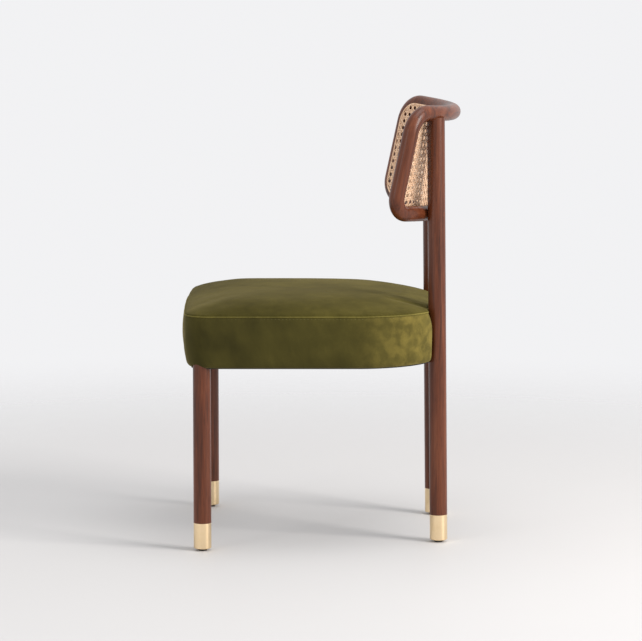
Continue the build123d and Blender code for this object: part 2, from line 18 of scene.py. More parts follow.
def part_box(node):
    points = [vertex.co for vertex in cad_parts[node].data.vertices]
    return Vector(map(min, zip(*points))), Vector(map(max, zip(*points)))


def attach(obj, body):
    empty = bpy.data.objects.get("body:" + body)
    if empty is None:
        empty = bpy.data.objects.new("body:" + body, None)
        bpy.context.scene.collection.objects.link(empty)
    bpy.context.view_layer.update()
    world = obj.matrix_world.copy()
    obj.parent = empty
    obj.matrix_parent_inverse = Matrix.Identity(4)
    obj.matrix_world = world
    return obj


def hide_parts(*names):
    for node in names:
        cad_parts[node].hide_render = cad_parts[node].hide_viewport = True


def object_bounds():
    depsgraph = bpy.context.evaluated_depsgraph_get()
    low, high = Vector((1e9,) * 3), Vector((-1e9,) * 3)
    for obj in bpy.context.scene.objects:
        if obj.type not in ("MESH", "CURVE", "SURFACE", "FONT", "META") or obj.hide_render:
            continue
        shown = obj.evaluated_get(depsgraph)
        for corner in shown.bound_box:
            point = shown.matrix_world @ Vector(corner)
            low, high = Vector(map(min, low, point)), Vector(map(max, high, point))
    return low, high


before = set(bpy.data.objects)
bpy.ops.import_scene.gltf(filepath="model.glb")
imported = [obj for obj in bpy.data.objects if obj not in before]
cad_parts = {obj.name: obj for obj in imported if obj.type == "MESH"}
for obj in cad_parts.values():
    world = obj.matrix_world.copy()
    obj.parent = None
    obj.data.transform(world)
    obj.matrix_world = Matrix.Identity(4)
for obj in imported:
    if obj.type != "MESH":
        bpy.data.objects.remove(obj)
mm = 0.001
cad_low, cad_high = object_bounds()
print("CAD box", [round(v, 4) for v in cad_low], [round(v, 4) for v in cad_high])

# %% [markdown]
# ## Helpers for nodes
#
# A material is a graph of nodes. Maths on single numbers reads best as plain expressions, so a small class
# wraps a socket and turns +, - and * into Math nodes. Every other node comes from one method that takes the
# node's type, its settings and what goes into its sockets.

# %% Shader maths
class Value:
    """A socket that can be used in an expression."""

    def __init__(self, graph, socket):
        self.graph = graph
        self.socket = socket

    def math(self, operation, *others):
        inputs = {place: other for place, other in enumerate((self, *others))}
        return self.graph.node("ShaderNodeMath", {"operation": operation}, inputs)[0]

    def __add__(self, other):
        return self.math("ADD", other)

    def __sub__(self, other):
        return self.math("SUBTRACT", other)

    def __mul__(self, other):
        return self.math("MULTIPLY", other)

    def __rsub__(self, other):
        return (self * -1) + other

    __radd__ = __add__
    __rmul__ = __mul__

    def between(self, low, high):
        """0 below low, 1 above high, and smooth in between."""
        settings = {"interpolation_type": "SMOOTHSTEP"}
        inputs = {"Value": self, "From Min": low, "From Max": high}
        return self.graph.node("ShaderNodeMapRange", settings, inputs)["Result"]


class Outputs:
    """A node's outputs, by name or place, as values."""

    def __init__(self, graph, node):
        self.graph = graph
        self.sockets = node.outputs

    def __getitem__(self, key):
        return Value(self.graph, self.sockets[key])


class Graph:
    """The node graph of one material."""

    def __init__(self, name):
        self.material = bpy.data.materials.new(name)
        self.material.use_nodes = True
        self.tree = self.material.node_tree
        self.tree.nodes.clear()
        self.shader = self.tree.nodes.new("ShaderNodeBsdfPrincipled")
        output = self.tree.nodes.new("ShaderNodeOutputMaterial")
        self.tree.links.new(self.shader.outputs["BSDF"], output.inputs["Surface"])

    def fill(self, node, inputs):
        """Link or set a node's sockets."""
        for key, value in inputs.items():
            if isinstance(value, Value):
                self.tree.links.new(value.socket, node.inputs[key])
            else:
                node.inputs[key].default_value = value

    def node(self, kind, settings=None, inputs=None):
        """Make a node: its settings first, then a ramp's stops, then its sockets."""
        made = self.tree.nodes.new(kind)
        for key, value in (settings or {}).items():
            if key == "stops":
                self.set_stops(made.color_ramp.elements, value)
            else:
                setattr(made, key, value)
        self.fill(made, inputs or {})
        return Outputs(self, made)

    def set_stops(self, elements, stops):
        """Give a colour ramp its (position, colour) stops."""
        while len(elements) < len(stops):
            elements.new(0.5)
        for element, (position, color) in zip(elements, stops):
            element.position = position
            element.color = (*color, 1.0)

    def surface(self, **inputs):
        """Fill the shader's sockets: base_color is Base Color, and so on."""
        named = {key.replace("_", " ").title(): value for key, value in inputs.items()}
        self.fill(self.shader, {key.replace("Ior", "IOR"): value for key, value in named.items()})
        return self.material

    def place(self, scale=(1, 1, 1), turn=(0, 0, 0), move=(0, 0, 0)):
        """Object coordinates, scaled, turned and moved."""
        here = self.node("ShaderNodeTexCoord")["Object"]
        inputs = {"Vector": here, "Location": move, "Rotation": turn, "Scale": scale}
        return self.node("ShaderNodeMapping", {"vector_type": "TEXTURE"}, inputs)["Vector"]

    def noise(self, vector, scale, detail=3.0, roughness=0.5, distortion=0.0):
        """Cloudy noise, about 0.2 to 0.8."""
        inputs = {"Vector": vector, "Scale": scale, "Detail": detail}
        inputs |= {"Roughness": roughness, "Distortion": distortion}
        return self.node("ShaderNodeTexNoise", {}, inputs)["Fac"]

    def ramp(self, factor, stops):
        """Colours by position, from a list of (position, (r, g, b))."""
        return self.node("ShaderNodeValToRGB", {"stops": stops}, {"Fac": factor})["Color"]

    def mix(self, factor, low, high):
        """One colour turning into another."""
        low, high = [(*c, 1.0) if isinstance(c, tuple) else c for c in (low, high)]
        inputs = {"Factor": factor, 6: low, 7: high}
        return self.node("ShaderNodeMix", {"data_type": "RGBA"}, inputs)[2]

    def bump(self, height, strength, distance):
        """Normal of a surface with small relief."""
        inputs = {"Height": height, "Strength": strength, "Distance": distance}
        return self.node("ShaderNodeBump", {}, inputs)["Normal"]

# %% [markdown]
# ## Walnut
#
# The visible wood is walnut, stained dark and lacquered to a satin. Up close it has long fibres with darker
# streaks, and fine pores that run with the grain. An image could be wrapped round each bar, but a noise that
# is stretched along the bar needs no wrapping and never repeats. Each bar gets its own copy with the grain
# along its own length. A thin clear coat gives the lacquer its sharper highlight over the softer wood.

# %% Walnut material
walnut_dark = (0.030, 0.0075, 0.0028)
walnut_mid = (0.100, 0.024, 0.0075)
walnut_light = (0.165, 0.048, 0.018)
fibre_size = (0.012, 0.012, 0.21)
streak_size = (0.030, 0.030, 0.48)
pore_size = (0.0022, 0.0022, 0.034)
wing_lean = radians(-11)


def walnut(name, turn=(0, 0, 0), move=(0, 0, 0)):
    """Lacquered walnut whose grain runs along the turned Z axis."""
    g = Graph(name)
    fibres = g.place(fibre_size, turn, move)
    streaks = g.place(streak_size, turn, move)
    pores = g.place(pore_size, turn, move)
    fine = g.noise(fibres, 4.0, 4.0, 0.6, 0.4)
    broad = g.noise(streaks, 2.0, 2.0, 0.5, 0.8)
    pore = g.noise(pores, 2.0, 2.0, 0.5)
    tone = fine * 0.45 + broad * 0.65
    color = g.ramp(tone, [(0.34, walnut_dark), (0.55, walnut_mid), (0.78, walnut_light)])
    pore_mask = pore.between(0.60, 0.72)
    color = g.mix(pore_mask * 0.45, color, walnut_dark)
    g.surface(
        base_color=color,
        roughness=fine * 0.12 + 0.30,
        normal=g.bump(pore_mask * -1.0 + fine * 0.3, 0.10, 0.0004),
        coat_weight=0.12,
        coat_roughness=0.16,
        specular_ior_level=0.28,
    )
    return g.material


def use(material, *names):
    """Give CAD nodes a material in all their slots."""
    for name in names:
        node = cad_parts[name]
        for place in range(len(node.data.materials)):
            node.data.materials[place] = material


sides = ("left", "right")
for place, side in enumerate(sides):
    use(walnut(f"walnut_post_{side}", move=(0.3 * place, 0, 0)), f"back_post_{side}")
    use(walnut(f"walnut_leg_{side}", move=(0.3 * place, 0.5, 0.2)), f"front_leg_{side}")
    use(walnut(f"walnut_wing_{side}", turn=(wing_lean, 0, 0), move=(place, 0, 0.4)), f"back_wing_{side}")
along_x = (0, radians(90), 0)
use(walnut("walnut_top_rail", turn=along_x), "back_top_rail")
use(walnut("walnut_bottom_rail", turn=along_x, move=(0.2, 0.1, 0)), "back_bottom_rail")
use(walnut("walnut_plug", turn=(radians(90), 0, 0)), "screw_plugs")
print("walnut on", len([m for m in bpy.data.materials if m.name.startswith("walnut_")]), "pieces")

# %% [markdown]
# ## Hidden wood, metal and the rest
#
# Under the seat are pieces that only show from below or when the chair comes apart: a beech frame, a
# plywood deck, zinc-plated screws, foam and wadding. A single grey would do for them, but each gets a short
# material of its own, because someone may take the seat off.

# %% Materials of the hidden pieces
def raw_wood(name, dark, light, turn=(0, 0, 0)):
    """Bare hardwood with a plain grain."""
    g = Graph(name)
    fibre = g.noise(g.place((0.006, 0.006, 0.12), turn), 3.0, 4.0, 0.6)
    fleck = g.noise(g.place((0.0016, 0.0016, 0.008), turn), 2.0, 1.0)
    color = g.mix(fibre.between(0.3, 0.7), dark, light)
    color = g.mix(fleck.between(0.62, 0.74) * 0.5, color, dark)
    g.surface(base_color=color, roughness=fibre * 0.2 + 0.5, normal=g.bump(fibre, 0.15, 0.0005))
    return g.material


veneer_thickness = 2.4 * mm


def plywood():
    """Birch plywood: thin layers show at the edge."""
    g = Graph("birch_plywood")
    height = g.node("ShaderNodeSeparateXYZ", {}, {"Vector": g.place()})["Z"]
    layer = (height * (1 / veneer_thickness)).math("PINGPONG", 1.0)
    face = g.noise(g.place((0.02, 0.35, 0.02)), 3.0, 3.0)
    color = g.mix(face.between(0.35, 0.65), (0.50, 0.34, 0.19), (0.63, 0.46, 0.28))
    color = g.mix(layer.between(0.55, 0.8) * 0.4, color, (0.30, 0.18, 0.09))
    g.surface(base_color=color, roughness=face * 0.2 + 0.5, normal=g.bump(face, 0.1, 0.0004))
    return g.material


def metal(name, color, shade, roughness, streak=(0.002, 0.002, 0.03)):
    """Metal with faint turning marks and a little tarnish."""
    g = Graph(name)
    mark = g.noise(g.place(streak), 2.0, 2.0)
    cloud = g.noise(g.place((0.03, 0.03, 0.03)), 1.5, 2.0)
    g.surface(
        base_color=g.mix(cloud.between(0.35, 0.75) * 0.6, color, shade),
        metallic=1.0,
        roughness=mark * 0.06 + cloud * 0.05 + roughness,
        normal=g.bump(mark, 0.03, 0.0002),
    )
    return g.material


def moulded(name, color, roughness):
    """Moulded plastic with a fine texture."""
    g = Graph(name)
    grain = g.noise(g.place((0.001, 0.001, 0.001)), 1.0, 2.0)
    g.surface(
        base_color=g.mix(grain * 0.5, color, tuple(c * 1.6 for c in color)),
        roughness=grain * 0.15 + roughness,
        normal=g.bump(grain, 0.1, 0.0002),
    )
    return g.material


def soft(name, low, high, size, roughness=0.9):
    """Foam, wadding or cloth with an open, uneven surface."""
    g = Graph(name)
    cell = g.noise(g.place((size, size, size)), 1.0, 3.0, 0.65)
    g.surface(
        base_color=g.mix(cell.between(0.3, 0.7), low, high),
        roughness=cell * 0.1 + roughness - 0.05,
        normal=g.bump(cell, 0.5, size * 0.5),
    )
    return g.material


beech_dark, beech_light = (0.42, 0.25, 0.13), (0.60, 0.40, 0.24)
use(raw_wood("beech_x", beech_dark, beech_light, along_x), "seat_rail_front", "seat_rail_rear")
along_y = (radians(90), 0, 0)
use(raw_wood("beech_y", beech_dark, beech_light, along_y), "seat_rail_left", "seat_rail_right")
blocks = [f"corner_block_{end}_{side}" for end in ("front", "rear") for side in sides]
use(raw_wood("beech_z", beech_dark, beech_light), *blocks)
use(raw_wood("beech_dowel", beech_dark, beech_light, along_x), "back_ring_dowels", "leg_dowels")
use(raw_wood("beech_dowel_upright", beech_dark, beech_light), "post_top_dowels")
use(plywood(), "seat_deck")
zinc = metal("zinc_plate", (0.58, 0.59, 0.60), (0.44, 0.45, 0.45), 0.32)
use(zinc, "bottom_rail_screws", "corner_block_screws", "deck_screws", "dust_cover_staples")
use(zinc, "glide_nails", "leg_hanger_bolts", "leg_bolt_washers", "leg_bolt_nuts")
use(zinc, "post_bolts", "post_bolt_washers")
use(soft("upholstery_foam", (0.62, 0.55, 0.36), (0.80, 0.74, 0.55), 0.003), "seat_foam")
use(soft("wadding", (0.70, 0.69, 0.66), (0.86, 0.85, 0.82), 0.006), "edge_padding")
use(soft("black_lining", (0.010, 0.010, 0.011), (0.026, 0.026, 0.028), 0.0012), "dust_cover")
print("materials so far", len(bpy.data.materials))

# %% [markdown]
# ## Brass ferrules and dark glides
#
# A ferrule is a turned and polished brass cup. The polish is bright enough to mirror the studio as long
# stripes, so the roughness is low, with fine marks round the cup from the lathe. The glide below is a plain
# dark disc.

# %% Ferrules and glides
brass = metal("polished_brass", (0.93, 0.72, 0.45), (0.84, 0.63, 0.37), 0.10, (0.03, 0.03, 0.0012))
feet = [f"{end}_{side}" for end in ("front", "back") for side in sides]
use(brass, *[f"ferrule_{foot}" for foot in feet])
use(moulded("dark_glide", (0.012, 0.011, 0.011), 0.42), *[f"glide_{foot}" for foot in feet])
print("feet", feet)

# %% [markdown]
# ## Woven cane
#
# The back is real cane webbing: split cane in upright and level pairs, with single diagonal strands woven
# through them. The pairs leave square gaps, and the diagonals cut the corners off, so the holes look round.
# A picture of a weave would look flat at the curved ends, so every strand here is its own thin ribbon that
# goes over and under. Each starts as a flat grid and is then laid on the CAD model's bent sheet.
#
# To lay it, we need to know where the sheet is. Rays from inside the bend hit the CAD sheet at two heights.
# The hits, joined up, say how far along the sheet each point is.

# %% Read the bent sheet
cane_low, cane_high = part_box("cane_panel")
cane_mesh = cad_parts["cane_panel"].data
cane_tree = BVHTree.FromPolygons(
    [v.co for v in cane_mesh.vertices], [p.vertices for p in cane_mesh.polygons]
)
ray_step = 0.5
widest_ray = 62
ray_turns = [radians(-widest_ray + ray_step * step) for step in range(249)]


def sheet_row(height):
    """Points of the sheet's front face at one height, from left to right."""
    start = Vector((0, 0, height))
    hits = [cane_tree.ray_cast(start, Vector((sin(t), cos(t), 0)))[0] for t in ray_turns]
    return [hit for hit in hits if hit is not None]


def lengths_along(points):
    """Distance of each point from the row's middle, measured along the row."""
    runs = [0.0]
    for here, there in zip(points, points[1:]):
        runs.append(runs[-1] + (there - here).length)
    middle = min(range(len(points)), key=lambda i: abs(points[i].x))
    return [run - runs[middle] for run in runs]


def along_row(points, runs, distance):
    """Point at a distance from the middle, going on straight past the ends."""
    place = 0
    while place < len(runs) - 2 and runs[place + 1] < distance:
        place += 1
    share = (distance - runs[place]) / (runs[place + 1] - runs[place])
    return points[place].lerp(points[place + 1], share)


cane_height = cane_high.z - cane_low.z
row_heights = [cane_low.z + cane_height * share for share in (0.3, 0.7)]
rows = [sheet_row(height) for height in row_heights]
row_runs = [lengths_along(row) for row in rows]


def on_sheet(across, height, lift):
    """Point of the sheet, at a distance from the middle and a height, lifted off its face."""
    low, high = [along_row(*pair, across) for pair in zip(rows, row_runs)]
    share = (height - row_heights[0]) / (row_heights[1] - row_heights[0])
    point = low.lerp(high, share)
    beside = along_row(rows[0], row_runs[0], across + 2 * mm) - low
    return point + beside.cross(high - low).normalized() * -lift


print("cane sheet is", round(row_runs[0][-1] - row_runs[0][0], 4), "m along its bend")

# %% [markdown]
# A strand is a straight line on the flat sheet. It is cut where it leaves the sheet's outline, and gets a
# point every quarter of the weave's pitch. A curve with a round profile could be a strand too, but split cane
# is flat, so a narrow grid that is given a thickness is nearer to it.

# %% Helpers for strands and pieces
pitch = 12.7 * mm
pair_gap = 3.5 * mm
strand_width = 2.35 * mm
diagonal_width = 2.0 * mm
strand_thickness = 0.45 * mm
wave = 0.42 * mm
longest_half = 0.30
edge_tolerance = 0.7 * mm
sheet_middle = (cane_low.z + cane_high.z) / 2


def inside(across, height):
    """True where the flat place lies on the CAD sheet once it is bent."""
    return cane_tree.find_nearest(on_sheet(across, height, 0))[3] < edge_tolerance


def strand(bm, start, direction, width, lift):
    """One ribbon through a point of the flat sheet, along a direction."""
    side = Vector((-direction.y, direction.x))
    step = pitch / 4
    count = int(longest_half / step)
    places = [start + direction * step * k for k in range(-count, count + 1)]
    kept = [p for p in places if inside(p.x, p.y)]
    if len(kept) < 3:
        return
    ribbon = bmesh.ops.create_grid(bm, x_segments=1, y_segments=len(kept) - 1, size=0.5)["verts"]
    ribbon.sort(key=lambda v: (round(v.co.y, 5), v.co.x))
    for place, point in enumerate(kept):
        for vertex, edge in zip(ribbon[2 * place : 2 * place + 2], (-1, 1)):
            spot = point + side * edge * width / 2
            vertex.co = on_sheet(spot.x, spot.y, lift(point))


def finished(bm, name, material, *nodes, slot):
    """Turn a bmesh into a piece that stands for CAD nodes."""
    mesh = bpy.data.meshes.new(name)
    bm.to_mesh(mesh)
    bm.free()
    piece = bpy.data.objects.new(name, mesh)
    bpy.context.scene.collection.objects.link(piece)
    mesh.materials.append(material)
    mesh.shade_smooth()
    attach(piece, "root")
    if nodes:
        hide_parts(*nodes)
    print(name, len(mesh.polygons), "faces")
    return piece


def thickened(bm, thickness):
    """Give thin ribbons their thickness."""
    bmesh.ops.recalc_face_normals(bm, faces=bm.faces)
    bmesh.ops.solidify(bm, geom=bm.faces[:], thickness=thickness)


print("weave pitch", round(pitch / mm, 1), "mm, strands", round(strand_width / mm, 2), "mm wide")

# %% [markdown]
# Split cane is the smooth skin of a palm stem. It is pale straw, a little glossy, with fine fibres along it
# and darker patches. The fibres are a noise stretched along each strand, so the four sets of strands get a
# copy each, turned their own way.

# %% Cane material
cane_dark = (0.46, 0.26, 0.145)
cane_mid = (0.74, 0.48, 0.30)
cane_light = (0.88, 0.66, 0.47)


def cane_finish(name, turn):
    """Split cane: glossy skin, fine fibres along it and darker nodes here and there."""
    g = Graph(name)
    fibre = g.noise(g.place((0.0007, 0.0007, 0.03), turn), 1.0, 3.0, 0.6)
    patch = g.noise(g.place((0.018, 0.018, 0.05), turn), 1.5, 2.0, 0.5)
    tone = fibre * 0.5 + patch * 0.6
    color = g.ramp(tone, [(0.35, cane_dark), (0.55, cane_mid), (0.75, cane_light)])
    g.surface(
        base_color=color,
        roughness=fibre * 0.2 + 0.36,
        normal=g.bump(fibre, 0.25, 0.0003),
        coat_weight=0.12,
        coat_roughness=0.3,
    )
    return g.material


use(cane_finish("cane_reed", (0, 0, 0)), "cane_spline")
print("cane colours from", cane_dark, "to", cane_light)

# %% [markdown]
# The upright and level strands come in pairs and pass over and under each other by turns. One set of
# diagonals lies above them and the other below, half a pitch to the side, which is what rounds the holes.

# %% Weave the sheet
upright = Vector((0, 1))
level = Vector((1, 0))
columns = range(-17, 18)
lines = range(-8, 9)
diagonals = range(-26, 26)
crossing_lift = 0.55 * mm


def woven(strand_index, is_upright):
    """Lift of an upright or level strand: over one strand of each pair it meets, under the other."""
    sign = (1 if strand_index else -1) * (1 if is_upright else -1)

    def lift(point):
        other = point.y - sheet_middle if is_upright else point.x
        return wave * sign * sin(2 * pi * other / pitch)

    return lift


bm = bmesh.new()
for column in columns:
    for index, edge in enumerate((-1, 1)):
        start = Vector((column * pitch + edge * pair_gap / 2, sheet_middle))
        strand(bm, start, upright, strand_width, woven(index, True))
thickened(bm, strand_thickness)
finished(bm, "cane_uprights", cane_finish("cane_upright", (0, 0, 0)), "cane_panel", slot="cane")

bm = bmesh.new()
for line in lines:
    for index, edge in enumerate((-1, 1)):
        start = Vector((0, sheet_middle + line * pitch + edge * pair_gap / 2))
        strand(bm, start, level, strand_width, woven(index, False))
thickened(bm, strand_thickness)
finished(bm, "cane_levels", cane_finish("cane_level", along_x), slot="cane")

for name, slope, height in (("rising", 1, crossing_lift), ("falling", -1, -crossing_lift)):
    bm = bmesh.new()
    direction = Vector((1, slope)).normalized()
    for column in diagonals:
        start = Vector(((column + 0.5) * pitch, sheet_middle))
        strand(bm, start, direction, diagonal_width, lambda point, h=height: h)
    thickened(bm, strand_thickness)
    skin = cane_finish(f"cane_{name}_skin", (0, radians(45 * slope), 0))
    finished(bm, f"cane_{name}", skin, slot="cane")

# %% [markdown]
# ## The velvet seat
#
# The seat is a foam pad on a deck, under a velvet cover of two pieces: a top and a side band, sewn together
# along a seam. The cover is tight, but it swells a little between the seam and the bottom edge, and it pulls
# in where the posts press on it. That is what a cloth simulation is good at, so a closed form a little
# smaller than the seat is blown up against its held seam and held bottom edge. Then it is cut into its two
# pieces at the seam.

# %% Shape of the seat
band_low, band_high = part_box("velvet_side_band")
top_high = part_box("velvet_top_panel")[1]
seam_height = band_high.z
half_width = band_high.x
seat_middle_y = (band_low.y + band_high.y) / 2
half_depth = (band_high.y - band_low.y) / 2
front_corner = 46 * mm
rear_corner = 164 * mm
corner_x = half_width - rear_corner
corner_y = band_high.y - rear_corner
front_bow = 7.5 * mm


def seat_outline(bm):
    """Flat face with the seat's plan, drawn at its widest line."""
    corners = [(-1, -1), (1, -1), (1, 1), (-1, 1)]
    verts = [bm.verts.new((x * half_width, seat_middle_y + y * half_depth, 0)) for x, y in corners]
    bm.faces.new(verts)
    for end, radius, segments in ((-1, front_corner, 12), (1, rear_corner, 28)):
        ends = [v for v in bm.verts if (v.co.y - seat_middle_y) * end > half_depth * 0.99]
        bmesh.ops.bevel(
            bm, geom=ends, offset=radius, segments=segments, profile=0.5, affect="VERTICES", material=-1
        )
    long_edges = [e for e in bm.edges if e.calc_length() > 60 * mm]
    bmesh.ops.subdivide_edges(bm, edges=long_edges, cuts=23)
    for vertex in bm.verts:
        front_share = max(0, (seat_middle_y - vertex.co.y) / half_depth)
        vertex.co.y += front_bow * front_share**2 * (vertex.co.x / half_width) ** 2


band_rise = seam_height - band_low.z
crown_rise = top_high.z - seam_height
seat_levels = [(0.0, 13.0), (0.10, 9.0), (0.30, 6.0), (0.50, 4.8), (0.74, 4.8), (1.0, 5.2)]
crown_levels = [(0.16, 9.0), (0.32, 18.0), (0.46, 34.0), (0.56, 56.0)]
crown_levels += [(0.66, 90.0), (0.75, 130.0), (0.80, 175.0)]
level_list = [(band_low.z + band_rise * share, inset * mm) for share, inset in seat_levels]
level_list += [(seam_height + crown_rise * share, inset * mm) for share, inset in crown_levels]


def set_level(face, height, inset, last_inset):
    """Scale a face of the stack to its own inset and put it at its height."""
    for vertex in face.verts:
        vertex.co.x *= (half_width - inset) / (half_width - last_inset)
        from_middle = vertex.co.y - seat_middle_y
        vertex.co.y = seat_middle_y + from_middle * (half_depth - inset) / (half_depth - last_inset)
        vertex.co.z = height


def seat_form():
    """Closed form of the seat, from its bottom edge to its crown."""
    bm = bmesh.new()
    seat_outline(bm)
    face = bm.faces[:][0]
    set_level(face, *level_list[0], 0)
    for (_, last_inset), (height, inset) in zip(level_list, level_list[1:]):
        made = bmesh.ops.extrude_face_region(bm, geom=[face])["geom"]
        if height != level_list[1][0]:
            bmesh.ops.delete(bm, geom=[face], context="FACES_ONLY")
        face = [f for f in made if isinstance(f, bmesh.types.BMFace)][0]
        set_level(face, height, inset, last_inset)
    bmesh.ops.recalc_face_normals(bm, faces=bm.faces)
    return bm


seat_bm = seat_form()
print("seat form", len(seat_bm.verts), "points, closed", all(e.is_manifold for e in seat_bm.edges))

# %% [markdown]
# The form is remeshed into small even squares, so that the cloth bends the same way everywhere. The bottom
# edge and the seam are held, because there the cover is stapled and sewn. No point may move far, so the seat
# keeps its size. At the end small folds in the top are smoothed away, because the real cover is tight.

# %% Blow the seat up as cloth
voxel = 5 * mm
held_reach = 4 * mm
side_reach = 22 * mm
last_frame = 20
swell_limit = 3 * mm
smoothing_rounds = 25


def evaluated(piece):
    """The piece's mesh with its modifiers applied."""
    bpy.context.view_layer.update()
    return bpy.data.meshes.new_from_object(piece.evaluated_get(bpy.context.evaluated_depsgraph_get()))


def remeshed(bm):
    """The form as an object of small even squares."""
    mesh = bpy.data.meshes.new("seat_body")
    bm.to_mesh(mesh)
    bm.free()
    body = bpy.data.objects.new("seat_body", mesh)
    bpy.context.scene.collection.objects.link(body)
    remesh = body.modifiers.new("Even squares", "REMESH")
    remesh.mode = "VOXEL"
    remesh.voxel_size = voxel
    body.data = evaluated(body)
    body.modifiers.clear()
    return body


def held_share(co):
    """1 where the cover is sewn or stapled, 0 where it is free."""
    if co.z < band_low.z + held_reach:
        return 1.0
    on_side = abs(co.x) > half_width - side_reach or abs(co.y - seat_middle_y) > half_depth - side_reach
    on_corner = hypot(abs(co.x) - corner_x, co.y - corner_y) > rear_corner - side_reach
    on_side = on_side or on_corner
    near_seam = abs(co.z - seam_height) < held_reach
    return 1.0 if near_seam and on_side and co.y < band_high.y else 0.0


def smoothed(body, rounds):
    """Even out small folds in the top, well inside the seam."""
    bm = bmesh.new()
    bm.from_mesh(body.data)
    free = [v for v in bm.verts if v.co.z > seam_height + held_reach]
    for _ in range(rounds):
        bmesh.ops.smooth_vert(bm, verts=free, factor=0.5, use_axis_x=True, use_axis_y=True, use_axis_z=True)
    bm.to_mesh(body.data)
    bm.free()


def blown_up(body):
    """Cloth under pressure, held at its seam and bottom, and never far from where it started."""
    group = body.vertex_groups.new(name="held")
    for vertex in body.data.vertices:
        group.add([vertex.index], held_share(vertex.co), "REPLACE")
    start = [v.co.copy() for v in body.data.vertices]
    cloth = body.modifiers.new("Velvet cover", "CLOTH")
    cloth.settings.quality = 6
    cloth.settings.mass = 0.35
    cloth.settings.tension_stiffness = 25
    cloth.settings.compression_stiffness = 25
    cloth.settings.shear_stiffness = 12
    cloth.settings.bending_stiffness = 2.5
    cloth.settings.vertex_group_mass = "held"
    cloth.settings.use_pressure = True
    cloth.settings.uniform_pressure_force = 4.0
    cloth.settings.effector_weights.gravity = 0.0
    cloth.collision_settings.use_collision = False
    cloth.point_cache.frame_end = last_frame
    for number in range(1, last_frame + 1):
        bpy.context.scene.frame_set(number)
    mesh = evaluated(body)
    body.modifiers.clear()
    bpy.context.scene.frame_set(1)
    moved = []
    for vertex, old in zip(mesh.vertices, start):
        step = vertex.co - old
        moved.append(step.length)
        if step.length > swell_limit:
            step.length = swell_limit
        vertex.co = old + step
    body.data = mesh
    smoothed(body, smoothing_rounds)
    print("cloth moved up to", round(max(moved) / mm, 1), "mm, kept to", swell_limit / mm)
    return body


seat_body = remeshed(seat_bm)
seat_body = blown_up(seat_body)
print("seat body", len(seat_body.data.vertices), "points")

# %% [markdown]
# A real cover isn't even. Where a post stands in the seat's edge, the padding gives way and the velvet is
# drawn in, which leaves a crease on the top. The crown falls towards the back. The seam pulls its own line
# in. Sculpting could do this by hand, but small moves of the points that are already there can be repeated.

# %% Dents, crown and seam line
post_low, post_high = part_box("back_post_right")
post_x = (post_low.x + post_high.x) / 2
post_radius = (post_high.x - post_low.x) / 2
post_gap = 0.6 * mm
seam_pull = 1.6 * mm
drawn_in = 2.5 * mm
drawn_in_at_seam = 8 * mm
round_part = 0.86  # share of the post's radius where the padding follows its curve
crease_depth = 3.2 * mm
back_fall = 8.5 * mm
fall_start_y = 0.02
post_zone_y = 0.10


def post_y(height):
    """Middle of a leaning post at a height."""
    share = (height - post_low.z) / (post_high.z - post_low.z)
    foot = post_high.y - post_radius
    return foot + (post_low.y + post_radius - foot) * share


def soft_min(a, b, blend):
    """The smaller of two, with a rounded change from one to the other."""
    share = max(blend - abs(a - b), 0.0) / blend
    return min(a, b) - share * share * blend / 4


def near_zero(distance, width):
    """1 at no distance, falling softly to 0 beyond the width."""
    return exp(-((distance / width) ** 2))


def beside_post(co):
    """How far back the padding may reach beside and in front of a post."""
    away = abs(abs(co.x) - post_x)
    reach_round = post_radius + post_gap
    middle = post_y(co.z)
    drawn = drawn_in + drawn_in_at_seam * near_zero(co.z - seam_height, 16 * mm)
    slope = 0.22 if abs(co.x) > post_x else 0.55
    beyond = max(away - reach_round * round_part, 0)
    shoulder = middle - reach_round * 0.51 - drawn + beyond * slope
    if away < reach_round * round_part:
        return min(middle - sqrt(reach_round**2 - away**2), shoulder)
    return shoulder


def crease(co):
    """Depth of the crease that runs forward from a post over the top."""
    start = Vector((post_x + 6 * mm, post_y(co.z) - 20 * mm))
    end = Vector((post_x - 12 * mm, start.y - 82 * mm))
    here = Vector((abs(co.x), co.y))
    along = (end - start).normalized()
    run = (here - start).dot(along)
    share = min(max(run / (end - start).length, 0), 1)
    off = (here - start - along * (end - start).length * share).length
    return crease_depth * (1 - share) ** 0.8 * near_zero(off, 9 * mm)


def shaped(co):
    """A point of the blown-up body in its last place."""
    place = co.copy()
    if place.z > seam_height:
        rise = (place.z - seam_height) / crown_rise
        back = max(0.0, (place.y - fall_start_y) / (band_high.y - fall_start_y))
        place.z -= back_fall * back**1.5 * rise
        place.z -= crease(place)
    limit = beside_post(place)
    if place.y > post_zone_y:
        place.y = soft_min(place.y, limit, 5 * mm)
    pull = seam_pull * near_zero(co.z - seam_height, 4.5 * mm)
    middle = Vector((0, seat_middle_y, place.z))
    away = place - middle
    if max(abs(away.x) / half_width, abs(away.y) / half_depth) > 0.5:
        place -= away.normalized() * pull
    ripple = noise.noise(co * 22) * 0.7 * mm + noise.noise(co * 60) * 0.25 * mm
    return place + away.normalized() * ripple


for vertex in seat_body.data.vertices:
    vertex.co = shaped(vertex.co)
print("seat body spans", [round(v, 4) for v in seat_body.dimensions])

# %% [markdown]
# ### Velvet
#
# Velvet is a cloth of short upright threads, the pile. Looked at from above, the pile is deep and dark. At a
# glancing angle its tips catch the light. That is what sheen on the shader does. The pile also lies this way
# and that where it was brushed, in soft patches a hand wide, so the colour changes a little from patch to
# patch. Light is painted into the colour too: the cover is painted a little lighter towards the rear, and the
# rear of the side band gets a mottled patch of painted light, where the key light from behind falls on it.

# %% Velvet material
pile_dark = (0.030, 0.0255, 0.0050)
pile_mid = (0.056, 0.047, 0.0095)
pile_light = (0.098, 0.081, 0.0180)
pile_painted_light = (0.215, 0.165, 0.036)


